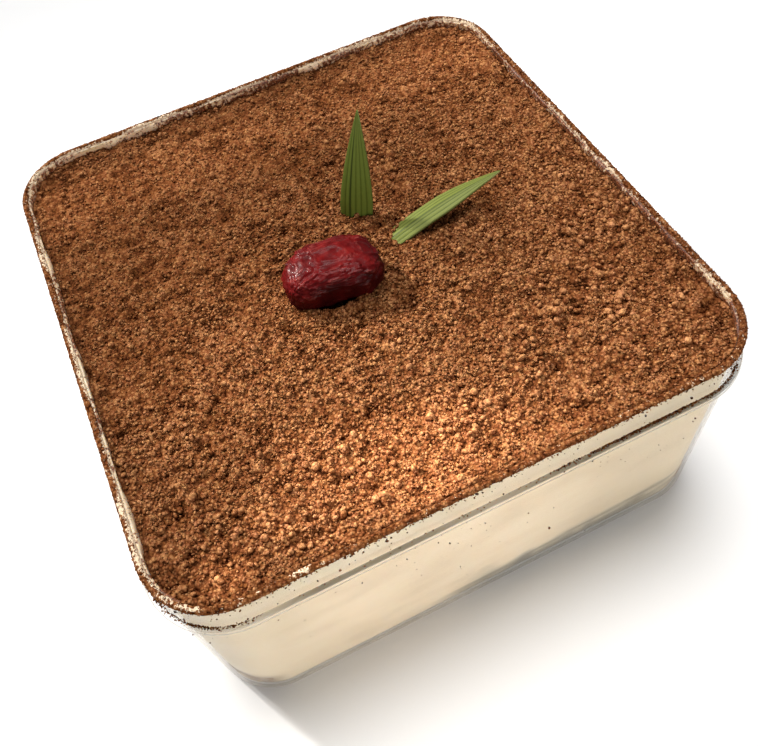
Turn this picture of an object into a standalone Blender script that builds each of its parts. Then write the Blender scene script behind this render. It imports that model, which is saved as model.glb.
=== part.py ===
"""A portion of tiramisu in its square clear tub, with a dried fruit and two leaf blades on the cocoa.

Metres, +Z up. The origin is the middle of the tub's base, on the surface that the tub stands on, and
the tub's front wall faces -Y. Every solid but the garnish is a stack of rounded rectangles.
"""

import math

import bmesh
import bpy
from mathutils import Euler, Vector, noise

GAP = 0.0003  # clearance between pieces that touch in the real thing

# Tub
RIM_HALF_X = 0.0500  # half the width over the rim band
RIM_HALF_Y = 0.0510
RIM_CORNER = 0.0120  # plan radius of the rim's corners
HEIGHT = 0.0470
WALL = 0.0009
BASE_THICK = 0.0009
BASE_INSET = 0.0006  # how far the walls lean in between the ledge and the base
BOTTOM_ROUND = 0.0014
BAND_HEIGHT = 0.0064  # from the ledge's top face to the rim
LEDGE_REACH = 0.0010
LEDGE_THICK = 0.0011

# Filling
CREAM_FILM = 0.0008  # cream that clings to the wall beside the cocoa
CREAM_BELOW_RIM = 0.0006
COCOA_BELOW_RIM = 0.0020
COCOA_THICK = 0.0022
COCOA_DOME = 0.0005
COCOA_RELIEF = 0.0005
COCOA_WAVE = 0.0070
SPONGE_THICK = 0.0062
SPONGE_RECESS = 0.0017  # cream between the slab's straight sides and the wall

# Garnish
FRUIT_RADII = (0.0086, 0.0064, 0.0048)
FRUIT_AT = (-0.0051, -0.0054)
FRUIT_YAW = math.radians(6.0)
FRUIT_SINK = 0.0017
LEAF_THICK = 0.0005
LEAF_ROOT = 0.0013  # length of blade pushed into the cocoa

# Fineness
CORNER_STEPS = 9
ROUND_STEPS = 3
COCOA_RINGS = 18
COCOA_SIDE_STEPS = 14
LEAF_STEPS = 16

LEDGE_TOP_Z = HEIGHT - BAND_HEIGHT
LEDGE_UNDER_Z = LEDGE_TOP_Z - LEDGE_THICK
FLOOR_Z = BASE_THICK + GAP
COCOA_Z = HEIGHT - COCOA_BELOW_RIM
CREAM_TOP_Z = HEIGHT - CREAM_BELOW_RIM
CREAM_DISH_Z = COCOA_Z - COCOA_THICK
COCOA_INSET = WALL + CREAM_FILM + 2 * GAP


def wall_inset(z):
    """How far the tub's outer face stands in from the rim band's face at this height."""
    return BASE_INSET * max(0.0, 1.0 - z / LEDGE_UNDER_Z)


def rounded_rectangle(inset, z, corner=None, side_steps=1):
    """One closed ring of points. Its corners keep the tub's plan centres unless a radius is given."""
    radius = RIM_CORNER - inset if corner is None else corner
    corners = []
    for quarter in range(4):
        side_x = 1 if quarter in (0, 3) else -1
        side_y = 1 if quarter in (0, 1) else -1
        centre = Vector((side_x * (RIM_HALF_X - inset - radius), side_y * (RIM_HALF_Y - inset - radius), z))
        angles = [math.radians(90.0) * (quarter + step / CORNER_STEPS) for step in range(CORNER_STEPS + 1)]
        corners.append([centre + Vector((radius * math.cos(a), radius * math.sin(a), 0)) for a in angles])
    points = []
    for arc, following in zip(corners, corners[1:] + corners[:1]):
        points += arc
        points += [arc[-1].lerp(following[0], step / side_steps) for step in range(1, side_steps)]
    return points


def quarter_round(inset, z, radius, start, end):
    """(inset, z) pairs along an arc whose centre is given. Angle 0 points into the tub and 90 points up."""
    pairs = []
    for step in range(ROUND_STEPS + 1):
        angle = math.radians(start + (end - start) * step / ROUND_STEPS)
        pairs.append((inset + radius * math.cos(angle), z + radius * math.sin(angle)))
    return pairs


def loft(name, rings):
    """A closed mesh through rings with the same number of points, with a flat face over each end."""
    bm = bmesh.new()
    loops = [[bm.verts.new(point) for point in ring] for ring in rings]
    for low, high in zip(loops, loops[1:]):
        for i, vert in enumerate(low):
            after = (i + 1) % len(low)
            bm.faces.new((vert, low[after], high[after], high[i]))
    bm.faces.new(reversed(loops[0]))
    bm.faces.new(loops[-1])
    bmesh.ops.recalc_face_normals(bm, faces=bm.faces)
    mesh = bpy.data.meshes.new(name)
    bm.to_mesh(mesh)
    bm.free()
    return mesh


def material(name, colour, roughness, alpha=1.0, transmission=0.0):
    made = bpy.data.materials.new(name)
    made.use_nodes = True
    shader = made.node_tree.nodes["Principled BSDF"]
    shader.inputs["Base Color"].default_value = (*colour, 1.0)
    shader.inputs["Roughness"].default_value = roughness
    shader.inputs["Metallic"].default_value = 0.0
    shader.inputs["Alpha"].default_value = alpha
    shader.inputs["Transmission Weight"].default_value = transmission
    return made


def add_part(name, mesh, look):
    part = bpy.data.objects.new(name, mesh)
    bpy.data.collections["tiramisu"].objects.link(part)
    mesh.materials.append(look)
    mesh.shade_smooth()
    mesh.set_sharp_from_angle(angle=math.radians(40))
    return part


def add_cutter(name, mesh):
    cutter = bpy.data.objects.new(name, mesh)
    bpy.data.collections["cutters"].objects.link(cutter)
    cutter.hide_render = True
    cutter.display_type = "WIRE"
    return cutter


def cut(part, cutter):
    modifier = part.modifiers.new(f"cut_{cutter.name}", "BOOLEAN")
    modifier.operation = "DIFFERENCE"
    modifier.solver = "EXACT"
    modifier.object = cutter


def clear_scene():
    for old in list(bpy.data.objects):
        bpy.data.objects.remove(old, do_unlink=True)
    for name in ("tiramisu", "cutters"):
        bpy.context.scene.collection.children.link(bpy.data.collections.new(name))


def make_tub():
    """Thin-walled square tub: leaning walls, a ledge for the lid and an upright band above it."""
    lip = WALL / 2
    inner_round = BOTTOM_ROUND - WALL / 2
    profile = quarter_round(BASE_INSET + BOTTOM_ROUND, BOTTOM_ROUND, BOTTOM_ROUND, 270, 180)
    profile += [
        (0.0, LEDGE_UNDER_Z),
        (-LEDGE_REACH, LEDGE_UNDER_Z),
        (-LEDGE_REACH, LEDGE_TOP_Z),
        (0.0, LEDGE_TOP_Z),
    ]
    profile += quarter_round(lip, HEIGHT - lip, lip, 180, 90)
    profile += quarter_round(lip, HEIGHT - lip, lip, 90, 0)[1:]
    profile.append((WALL, LEDGE_UNDER_Z))
    profile += quarter_round(BASE_INSET + WALL + inner_round, BASE_THICK + inner_round, inner_round, 180, 270)
    rings = [rounded_rectangle(inset, z) for inset, z in profile]
    add_part("tub", loft("tub", rings), material("clear_plastic", (0.86, 0.88, 0.90), 0.12, 0.35, 0.9))


def sponge_rings(grow, low):
    """The slab's rings. Its corners are drawn out until they nearly meet the tub's wall."""
    side = wall_inset(SPONGE_THICK) + WALL + SPONGE_RECESS
    spread = (math.sqrt(2) * SPONGE_RECESS - GAP) / (math.sqrt(2) - 1)
    corner = RIM_CORNER - wall_inset(0) - WALL - spread
    top = FLOOR_Z + SPONGE_THICK + grow
    profile = [
        (BOTTOM_ROUND / 2, low),
        (0.0, FLOOR_Z + BOTTOM_ROUND / 2),
        (0.0, top - BOTTOM_ROUND / 2),
        (BOTTOM_ROUND / 2, top),
    ]
    return [rounded_rectangle(side + inset - grow, z, corner + grow - inset) for inset, z in profile]


def make_sponge():
    look = material("soaked_sponge", (0.34, 0.20, 0.09), 0.75)
    add_part("sponge", loft("sponge", sponge_rings(0.0, FLOOR_Z)), look)


def make_cream():
    """Cream fills the tub round the sponge and climbs the wall in a thin film beside the cocoa."""
    face = WALL + GAP
    low = BASE_INSET + face + BOTTOM_ROUND / 2
    profile = quarter_round(low, FLOOR_Z + BOTTOM_ROUND / 2, BOTTOM_ROUND / 2, 270, 180)
    profile += [
        (face, LEDGE_UNDER_Z),
        (face, CREAM_TOP_Z),
        (face + CREAM_FILM, CREAM_TOP_Z),
        (face + CREAM_FILM, CREAM_DISH_Z),
    ]
    rings = [rounded_rectangle(inset, z) for inset, z in profile]
    cream = add_part("cream", loft("cream", rings), material("mascarpone_cream", (0.82, 0.70, 0.50), 0.5))
    hollow = add_cutter("sponge_hollow", loft("sponge_hollow", sponge_rings(GAP, -BASE_THICK)))
    cut(cream, hollow)


def cocoa_height(x, y):
    """The sifted cocoa's top: a shallow dome with soft waves."""
    edge = max(abs(x) / RIM_HALF_X, abs(y) / RIM_HALF_Y)
    dome = COCOA_DOME * (1.0 - edge**2)
    wave = noise.fractal(Vector((x, y, 0.0)) / COCOA_WAVE, 0.9, 2.0, 3)
    return COCOA_Z + dome + COCOA_RELIEF * wave


def make_cocoa():
    low = CREAM_DISH_Z + GAP
    rim = rounded_rectangle(COCOA_INSET, low, side_steps=COCOA_SIDE_STEPS)
    rings = [[Vector((p.x, p.y, low)) for p in rim]]
    for ring in range(COCOA_RINGS):
        share = 1.0 - ring / COCOA_RINGS
        rings.append([Vector((p.x * share, p.y * share, cocoa_height(p.x * share, p.y * share))) for p in rim])
    return add_part("cocoa", loft("cocoa", rings), material("cocoa_powder", (0.20, 0.08, 0.03), 0.95))


def wrinkled(direction):
    """Radius of the dried fruit over a smooth ellipsoid's, for a direction from its middle."""
    ridge = 1.0 - abs(noise.noise(direction * 2.6 + Vector((7.0, 1.0, 4.0))))
    lobe = noise.noise(direction * 1.3 + Vector((2.0, 5.0, 3.0)))
    return 0.90 + 0.10 * ridge**2 + 0.07 * lobe


def fruit_mesh(name, grow):
    bm = bmesh.new()
    bmesh.ops.create_icosphere(bm, subdivisions=4, radius=1.0)
    for vert in bm.verts:
        direction = vert.co.normalized()
        radius = wrinkled(direction)
        vert.co = Vector([way * (size * radius + grow) for way, size in zip(direction, FRUIT_RADII)])
    mesh = bpy.data.meshes.new(name)
    bm.to_mesh(mesh)
    bm.free()
    return mesh


def place_fruit(thing):
    x, y = FRUIT_AT
    thing.location = (x, y, cocoa_height(x, y) - FRUIT_SINK + FRUIT_RADII[2])
    thing.rotation_euler = (0.0, 0.0, FRUIT_YAW)


def make_fruit(cocoa):
    """One wrinkled dried fruit that lies in a dent of the cocoa."""
    fruit = add_part("fruit", fruit_mesh("fruit", 0.0), material("dried_fruit", (0.22, 0.01, 0.015), 0.25))
    dent = add_cutter("fruit_dent", fruit_mesh("fruit_dent", GAP))
    place_fruit(fruit)
    place_fruit(dent)
    cut(cocoa, dent)


def blade(name, length, half_width, taper_from, fold_at, fold_rise, droop, grow):
    """A leaf blade that grows along +Z from the origin, faces -Y, and bends away along +Y by droop.

    fold_at is the crease's place across the blade, from -1 at its left edge to 1 at its right, and
    fold_rise is how far the crease stands towards -Y, as a share of the half width.
    """
    bm = bmesh.new()
    rows = []
    for step in range(LEAF_STEPS + 1):
        along = step / LEAF_STEPS
        narrow = max(0.0, along - taper_from) / (1.0 - taper_from)
        half = half_width * (0.06 + 0.94 * (1.0 - narrow**1.5)) + grow
        z = -LEAF_ROOT - grow + (length + LEAF_ROOT + grow) * along
        back = droop * along**2
        row = []
        for across in (-1.0, (fold_at - 1.0) / 2, fold_at, (fold_at + 1.0) / 2, 1.0):
            rise = fold_rise * half * (1.0 - abs(across - fold_at) / (1.0 + abs(fold_at)))
            row.append(bm.verts.new((half * across, back - rise, z)))
        rows.append(row)
    for low, high in zip(rows, rows[1:]):
        for i in range(len(low) - 1):
            bm.faces.new((low[i], low[i + 1], high[i + 1], high[i]))
    mesh = bpy.data.meshes.new(name)
    bm.to_mesh(mesh)
    bm.free()
    return mesh


def thicken(thing, thickness):
    modifier = thing.modifiers.new("thickness", "SOLIDIFY")
    modifier.thickness = thickness
    modifier.offset = 0.0
    modifier.use_even_offset = True


LEAVES = {
    "leaf_upright": {
        "at": (0.0053, 0.0072),
        "turn": (math.radians(-4.5), math.radians(4.8), math.radians(-37.0)),
        "blade": {
            "length": 0.0215,
            "half_width": 0.0029,
            "taper_from": 0.15,
            "fold_at": -0.35,
            "fold_rise": 0.35,
            "droop": 0.0010,
        },
        "colour": (0.10, 0.22, 0.03),
    },
    "leaf_leaning": {
        "at": (0.0096, -0.0010),
        "turn": (math.radians(-68.0), 0.0, math.radians(-88.0)),
        "blade": {
            "length": 0.0211,
            "half_width": 0.0021,
            "taper_from": 0.45,
            "fold_at": 0.1,
            "fold_rise": 0.30,
            "droop": 0.0035,
        },
        "colour": (0.16, 0.30, 0.06),
    },
}


def make_leaf(name, cocoa):
    """A cut blade of grass-like leaf, its foot pushed into a slot of the cocoa."""
    leaf = LEAVES[name]
    x, y = leaf["at"]
    solid = add_part(name, blade(name, grow=0.0, **leaf["blade"]), material(name, leaf["colour"], 0.45))
    slot = add_cutter(f"{name}_slot", blade(f"{name}_slot", grow=GAP, **leaf["blade"]))
    thicken(solid, LEAF_THICK)
    thicken(slot, LEAF_THICK + 2 * GAP)
    for thing in (solid, slot):
        thing.location = (x, y, cocoa_height(x, y))
        thing.rotation_euler = Euler(leaf["turn"])
    cut(cocoa, slot)


def main():
    clear_scene()
    make_tub()
    make_sponge()
    make_cream()
    cocoa = make_cocoa()
    make_fruit(cocoa)
    for name in LEAVES:
        make_leaf(name, cocoa)


main()
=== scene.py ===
"""The looks of the tiramisu tub: clear plastic, cream, sponge, cocoa with loose grains, and the garnish.

Metres, +Z up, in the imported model's frame. Places come from the CAD nodes' boxes, and sizes that the
boxes can't tell, such as the wall's thickness, are repeated from the tub's own dimensions.
"""

import math

import bmesh
import bpy
import numpy as np
from mathutils import Euler, Matrix, Vector


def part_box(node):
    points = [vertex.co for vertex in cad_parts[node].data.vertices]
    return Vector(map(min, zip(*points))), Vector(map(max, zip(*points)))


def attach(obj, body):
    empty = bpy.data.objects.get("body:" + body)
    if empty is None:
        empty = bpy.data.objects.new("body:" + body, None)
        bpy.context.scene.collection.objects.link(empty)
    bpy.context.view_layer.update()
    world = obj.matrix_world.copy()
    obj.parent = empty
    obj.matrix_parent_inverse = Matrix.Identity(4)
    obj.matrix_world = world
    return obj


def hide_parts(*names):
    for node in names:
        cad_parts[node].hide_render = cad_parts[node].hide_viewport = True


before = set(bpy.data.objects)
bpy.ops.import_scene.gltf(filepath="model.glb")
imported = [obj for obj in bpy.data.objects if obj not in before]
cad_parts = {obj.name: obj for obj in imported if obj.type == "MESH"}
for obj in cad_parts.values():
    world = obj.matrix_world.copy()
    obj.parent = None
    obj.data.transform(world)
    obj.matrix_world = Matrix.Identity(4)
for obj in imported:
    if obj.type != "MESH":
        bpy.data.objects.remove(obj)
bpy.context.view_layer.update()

MM = 0.001

# The tub, as the CAD model has it
TUB_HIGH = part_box("tub")[1]
LEDGE_REACH = 1.0 * MM
WALL = 0.9 * MM
LIP = WALL / 2  # radius of the rim's lip
BASE_THICK = 0.9 * MM
BASE_INSET = 0.6 * MM
BOTTOM_ROUND = 1.4 * MM
BAND_HEIGHT = 6.4 * MM
LEDGE_THICK = 1.1 * MM
RIM_CORNER = 12.0 * MM
RIM_Z = TUB_HIGH.z
HALF_X = TUB_HIGH.x - LEDGE_REACH
HALF_Y = TUB_HIGH.y - LEDGE_REACH
LEDGE_TOP_Z = RIM_Z - BAND_HEIGHT
LEDGE_UNDER_Z = LEDGE_TOP_Z - LEDGE_THICK

# The filling
COCOA_Z = RIM_Z - 2.0 * MM  # mean level of the cocoa
INTO_WALL = 0.12 * MM  # how far the filling reaches into the clear wall, so that no air shows
SPONGE_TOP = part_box("sponge")[1].z

# Points round the rim path
TUB_ROUND = 480  # tub and sponge
CREAM_ROUND = 700
CRUST_ROUND = 1500
GRAIN_ROUND = 4000  # places that grains on the rim and the wall can take
LEDGE_ROUND = 6000  # places that dust on the ledge can take

# How many loose grains lie round the tub
RIM_GRAINS = 5000
LEDGE_GRAINS = 4500
BAND_SPECKS = 560
WALL_SPECKS = 300

# Camera
CAMERA_AT = Vector((-27.83, -95.13, 158.17)) * MM
CAMERA_AIM = Vector((-3.89, -16.11, 40.0)) * MM
CAMERA_ROLL = math.radians(-9.92)
LENS = 40.15  # on a sensor 36 wide
CAMERA_SHIFT = (0.0154, -0.0392)


# ---------------------------------------------------------------- patterns in numbers


class Noise:
    """Smooth value noise from a seeded lattice, and domed cells from jittered points."""

    SIDE = 64

    def __init__(self, seed):
        rng = np.random.default_rng(seed)
        self.table = rng.uniform(-1.0, 1.0, (self.SIDE,) * 3)
        self.jitter = rng.uniform(0.0, 1.0, (self.SIDE, self.SIDE, 3))

    def smooth(self, points, size):
        """One octave at each point (n, 3), from -1 to 1, with features of about this size."""
        scaled = np.asarray(points, float) / size
        cell = np.floor(scaled).astype(int)
        part = scaled - cell
        part = part * part * (3.0 - 2.0 * part)
        total = np.zeros(len(scaled))
        for corner in np.ndindex(2, 2, 2):
            weight = np.prod(np.where(corner, part, 1.0 - part), axis=1)
            at = (cell + corner) % self.SIDE
            total += weight * self.table[at[:, 0], at[:, 1], at[:, 2]]
        return total

    def fractal(self, points, size, octaves=3, gain=0.55):
        """Octaves of smooth noise, each half the size of the last."""
        total, weight = 0.0, 1.0
        for octave in range(octaves):
            total = total + weight * self.smooth(points, size / 2**octave)
            weight *= gain
        return total

    def cells(self, plane, size):
        """(dome height 0 to 1, random number of the cell) at plane points (n, 2)."""
        scaled = np.asarray(plane, float) / size
        cell = np.floor(scaled).astype(int)
        nearest = np.full(len(scaled), 9.0)
        chance = np.zeros(len(scaled))
        for dx in (-1, 0, 1):
            for dy in (-1, 0, 1):
                at = cell + (dx, dy)
                found = self.jitter[at[:, 0] % self.SIDE, at[:, 1] % self.SIDE]
                distance = np.linalg.norm(at + found[:, :2] - scaled, axis=1)
                closer = distance < nearest
                nearest = np.where(closer, distance, nearest)
                chance = np.where(closer, found[:, 2], chance)
        return np.sqrt(np.clip(1.0 - nearest**2, 0.0, 1.0)), chance


NOISE = Noise(11)
MORE_NOISE = Noise(23)


def ramp(value, low, high):
    """0 below low, 1 above high, smooth between. low may be above high."""
    share = np.clip((np.asarray(value, float) - low) / (high - low), 0.0, 1.0)
    return share * share * (3.0 - 2.0 * share)


# ---------------------------------------------------------------- mesh helpers


def add_piece(name, points, faces, look, attributes):
    """A smooth mesh object from points and faces, with float attributes on its points, riding on the root."""
    mesh = bpy.data.meshes.new(name)
    mesh.from_pydata(points.tolist(), [], faces if isinstance(faces, list) else faces.tolist())
    for key, values in attributes.items():
        layer = mesh.attributes.new(key, "FLOAT", "POINT")
        layer.data.foreach_set("value", np.asarray(values, np.float32))
    mesh.materials.append(look)
    mesh.shade_smooth()
    mesh.update()
    piece = bpy.data.objects.new(name, mesh)
    bpy.context.scene.collection.objects.link(piece)
    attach(piece, "root")
    return piece


def grid_faces(rows, columns, wrap):
    """Quads of a grid of points stored row by row. wrap joins the last column to the first."""
    across = columns if wrap else columns - 1
    r, c = np.meshgrid(np.arange(rows - 1), np.arange(across), indexing="ij")
    after = (c + 1) % columns
    quads = [r * columns + c, r * columns + after, (r + 1) * columns + after, (r + 1) * columns + c]
    return np.stack(quads, axis=-1).reshape(-1, 4)


def capped_faces(rows, count):
    """Faces of a tube of rings, closed by one face at each end."""
    faces = grid_faces(rows, count, True).tolist()
    faces.append(list(range(count))[::-1])
    faces.append(list(range((rows - 1) * count, rows * count)))
    return faces


def rim_path(count):
    """Evenly spaced plan points on the rim band's outer face, and the outward directions there.

    The path starts at the middle of the +X side and turns towards +Y.
    """
    straight_x, straight_y = HALF_X - RIM_CORNER, HALF_Y - RIM_CORNER
    arc = math.pi / 2 * RIM_CORNER
    length = 4 * (straight_x + straight_y + arc)
    places, outward = [], []
    for i in range(count):
        s = length * i / count
        quarter = 0
        side = [straight_y, straight_x, straight_y, straight_x]
        leg = side[quarter]
        while s > leg + arc + side[(quarter + 1) % 4]:
            s -= leg + arc + side[(quarter + 1) % 4]
            quarter += 1
            leg = side[quarter]
        corner = Vector(((1, -1, -1, 1)[quarter] * straight_x, (1, 1, -1, -1)[quarter] * straight_y))
        start = math.pi / 2 * quarter
        if s < leg:
            turn, along = start, s - leg
        elif s > leg + arc:
            turn, along = start + math.pi / 2, s - leg - arc
        else:
            turn, along = start + (s - leg) / RIM_CORNER, 0.0
        normal = Vector((math.cos(turn), math.sin(turn)))
        tangent = Vector((-normal.y, normal.x))
        places.append(corner + RIM_CORNER * normal + along * tangent)
        outward.append(normal)
    return np.array(places), np.array(outward)


def wall_inset(z):
    """How far the tub's outer face stands in from the rim band's face at this height."""
    return BASE_INSET * np.clip(1.0 - np.asarray(z, float) / LEDGE_UNDER_Z, 0.0, 1.0)


def arc_profile(inset, z, radius, start, end, steps):
    """(inset, z) pairs along an arc. Angle 0 points into the tub and 90 points up."""
    angles = np.radians(np.linspace(start, end, steps + 1))
    return [(inset + radius * math.cos(a), z + radius * math.sin(a)) for a in angles]


def rings_from(profile, places, outward):
    """(rows, count, 3) points: the plan path set in by each inset, at each height."""
    rings = [np.column_stack([places - inset * outward, np.full(len(places), z)]) for inset, z in profile]
    return np.array(rings)


def inside(plane, inset):
    """Signed distance of plan points (n, 2) to the rim outline set in by inset. Negative is inside."""
    radius = RIM_CORNER - inset
    reach = np.abs(plane) - np.array([HALF_X - RIM_CORNER, HALF_Y - RIM_CORNER])
    outer = np.linalg.norm(np.maximum(reach, 0.0), axis=1)
    return outer + np.minimum(reach.max(axis=1), 0.0) - radius


# ---------------------------------------------------------------- materials


class Look:
    """A small builder of node materials around one Principled shader."""

    def __init__(self, name, **constants):
        self.material = bpy.data.materials.new(name)
        self.material.use_nodes = True
        self.tree = self.material.node_tree
        self.shader = self.tree.nodes["Principled BSDF"]
        for socket, value in constants.items():
            self.shader.inputs[socket.replace("_", " ")].default_value = value
        self.coordinates = self.node("ShaderNodeTexCoord").outputs["Object"]

    def node(self, kind, **settings):
        made = self.tree.nodes.new(kind)
        for key, value in settings.items():
            setattr(made, key, value)
        return made

    def link(self, source, target):
        self.tree.links.new(source, target)

    def put(self, socket, source):
        self.link(source, self.shader.inputs[socket])

    def attribute(self, name):
        return self.node("ShaderNodeAttribute", attribute_name=name).outputs["Fac"]

    def noise(self, size, detail=2.0, roughness=0.55, stretch=(1, 1, 1)):
        mapping = self.node("ShaderNodeMapping")
        mapping.inputs["Scale"].default_value = stretch
        self.link(self.coordinates, mapping.inputs["Vector"])
        made = self.node("ShaderNodeTexNoise")
        made.inputs["Scale"].default_value = 1.0 / size
        made.inputs["Detail"].default_value = detail
        made.inputs["Roughness"].default_value = roughness
        self.link(mapping.outputs["Vector"], made.inputs["Vector"])
        return made.outputs["Fac"]

    def cells(self, size):
        """(distance to the cell's middle, random number of the cell)."""
        made = self.node("ShaderNodeTexVoronoi")
        made.inputs["Scale"].default_value = 1.0 / size
        self.link(self.coordinates, made.inputs["Vector"])
        split = self.node("ShaderNodeSeparateColor")
        self.link(made.outputs["Color"], split.inputs["Color"])
        return made.outputs["Distance"], split.outputs["Red"]

    def ramp(self, source, stops):
        """Each stop is (place, colour or grey level)."""
        made = self.node("ShaderNodeValToRGB")
        stops = [(place, colour if isinstance(colour, tuple) else (colour,) * 3) for place, colour in stops]
        elements = made.color_ramp.elements
        while len(elements) < len(stops):
            elements.new(0.5)
        for element, (place, colour) in zip(elements, stops):
            element.position = place
            element.color = (*colour, 1.0)
        self.link(source, made.inputs["Fac"])
        return made.outputs["Color"]

    def mix(self, share, first, second, blend="MIX"):
        """share, first and second are numbers, colours or sockets."""
        made = self.node("ShaderNodeMix", data_type="RGBA", blend_type=blend)
        for index, value in ((0, share), (6, first), (7, second)):
            socket = made.inputs[index]
            if isinstance(value, bpy.types.NodeSocket):
                self.link(value, socket)
            else:
                socket.default_value = (*value, 1.0) if isinstance(value, tuple) else value
        return made.outputs[2]

    def math(self, operation, first, second=0.0, clamp=False):
        made = self.node("ShaderNodeMath", operation=operation, use_clamp=clamp)
        for socket, value in zip(made.inputs, (first, second)):
            if isinstance(value, bpy.types.NodeSocket):
                self.link(value, socket)
            else:
                socket.default_value = value
        return made.outputs[0]

    def bump(self, height, distance, strength):
        made = self.node("ShaderNodeBump")
        made.inputs["Strength"].default_value = strength
        made.inputs["Distance"].default_value = distance
        self.link(height, made.inputs["Height"])
        self.put("Normal", made.outputs["Normal"])


COCOA_DARK = (0.016, 0.0022, 0.0004)
COCOA_MID = (0.180, 0.057, 0.0205)
COCOA_LIGHT = (0.56, 0.252, 0.120)
CREAM = (0.86, 0.705, 0.50)


def cocoa_look(name, creamy=False):
    """Dry cocoa, crumb by crumb: the tone attribute holds random tone and painted shade in the hollows, the
    shade attribute scales it with painted light and shade, and calm takes contrast out of the crumbs' painted
    shade.

    With creamy, cream shows through the powder where the creamy attribute is high.
    """
    look = Look(name, Roughness=0.9, Specular_IOR_Level=0.0)
    distance, chance = look.cells(0.50 * MM)
    # Painted shade between crumbs: each cell is lighter in its middle and darker towards its edge, less so
    # where calm.
    crisp = look.math("SUBTRACT", 0.62, look.attribute("calm"))
    painted_cell_shade = look.math("MULTIPLY", look.math("SUBTRACT", 0.45, distance), crisp)
    varied = look.math("MULTIPLY", look.math("SUBTRACT", chance, 0.5), 0.24)
    tone_and_shade = look.math("ADD", look.math("ADD", look.attribute("tone_and_shade"), painted_cell_shade), varied)
    base = look.ramp(tone_and_shade, [(0.0, COCOA_DARK), (0.42, COCOA_MID), (1.0, COCOA_LIGHT)])
    tinted = look.mix(chance, base, (0.97, 1.05, 0.86), "MULTIPLY")
    # The shade attribute scales the colour with painted light and shade.
    shaded = look.mix(1.0, tinted, look.attribute("shade"), "MULTIPLY")
    if creamy:
        speckle = look.math("MULTIPLY", look.math("SUBTRACT", look.noise(0.55 * MM, 3.0, 0.7), 0.5), 3.4)
        bare = look.ramp(look.math("ADD", look.attribute("creamy"), speckle), [(0.44, 0.0), (0.60, 1.0)])
        shaded = look.mix(bare, shaded, (0.80, 0.62, 0.43))
    look.put("Base Color", shaded)
    dome = look.math("SUBTRACT", 1.0, look.math("MULTIPLY", distance, distance))
    fine = look.math("MULTIPLY", look.noise(0.16 * MM, 2.0), 0.5)
    look.bump(look.math("ADD", dome, fine), 0.27 * MM, 1.0)
    return look.material


def cream_look():
    """Whipped cream behind clear plastic.

    The attributes say where it is darker and olive with painted shade, dark with painted shadow low on the
    front, soaked brown by the sponge, or dusty.
    """
    look = Look(
        "cream", Roughness=0.45, Specular_IOR_Level=0.3,
        Subsurface_Weight=0.6, Subsurface_Scale=1.5 * MM,
    )
    look.shader.inputs["Subsurface Radius"].default_value = (1.0, 0.75, 0.45)
    smear = look.noise(16 * MM, 2.0, 0.5, (1.0, 1.0, 2.2))
    soft = look.ramp(smear, [(0.30, (0.76, 0.61, 0.42)), (0.50, CREAM), (0.72, (0.90, 0.76, 0.56))])
    # Painted shade, olive in hue, towards the right and at the left end.
    olive_shade = look.mix(look.attribute("olive_shade"), soft, (0.56, 0.46, 0.30))
    # Painted shadow: dark low on the front and in streaks, where the shadow under the tub shows through the
    # clear base.
    low_shadow = look.mix(look.attribute("low_shadow"), olive_shade, (0.12, 0.105, 0.07))
    dust_noise = look.noise(0.7 * MM, 3.0, 0.65)
    stray = look.math("MULTIPLY", look.math("SUBTRACT", dust_noise, 0.5), 2.2)
    dusty = look.ramp(look.math("ADD", look.attribute("dust"), stray), [(0.42, 0.0), (0.62, 1.0)])
    powder = look.ramp(look.noise(0.3 * MM), [(0.3, COCOA_DARK), (0.55, COCOA_MID), (0.75, COCOA_LIGHT)])
    soaked = look.mix(look.attribute("soak"), low_shadow, (0.21, 0.125, 0.06))
    veil = look.ramp(look.attribute("dust"), [(0.10, 0.0), (0.45, 0.55)])
    veiled = look.mix(veil, soaked, (0.56, 0.36, 0.21))
    look.put("Base Color", look.mix(dusty, veiled, powder))
    look.bump(look.noise(3.0 * MM, 2.0), 0.12 * MM, 0.35)
    return look.material


def sponge_look():
    """Soaked sponge, stained light and dark brown."""
    look = Look("sponge", Roughness=0.6, Specular_IOR_Level=0.4)
    stops = [(0.32, (0.10, 0.05, 0.02)), (0.5, (0.25, 0.145, 0.065)), (0.68, (0.50, 0.36, 0.20))]
    look.put("Base Color", look.ramp(look.noise(3.5 * MM, 4.0, 0.6), stops))
    look.bump(look.noise(0.8 * MM, 3.0), 0.2 * MM, 0.6)
    return look.material


def plastic_look():
    """Thin clear plastic: mostly see-through and glossy, with painted shadow, grey and less see-through,
    where the tint attribute is high.
    """
    look = Look("clear_plastic", Specular_IOR_Level=0.35)
    look.shader.inputs["IOR"].default_value = 1.49
    haze = look.noise(9 * MM, 2.0, 0.5)
    shadow_grey = look.attribute("shadow_grey")
    clear = look.ramp(haze, [(0.35, (0.76, 0.73, 0.66)), (0.65, (0.88, 0.86, 0.81))])
    look.put("Base Color", look.mix(shadow_grey, clear, (0.20, 0.185, 0.135)))
    scuff = look.ramp(look.noise(2.2 * MM, 4.0, 0.7), [(0.35, 0.05), (0.75, 0.16)])
    look.put("Roughness", scuff)
    gaze = look.node("ShaderNodeLayerWeight")
    gaze.inputs["Blend"].default_value = 0.35
    opaque = look.math("ADD", look.math("MULTIPLY", gaze.outputs["Fresnel"], 0.55), 0.03)
    look.put("Alpha", look.math("ADD", opaque, look.math("MULTIPLY", shadow_grey, 0.72), clamp=True))
    return look.material


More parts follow.
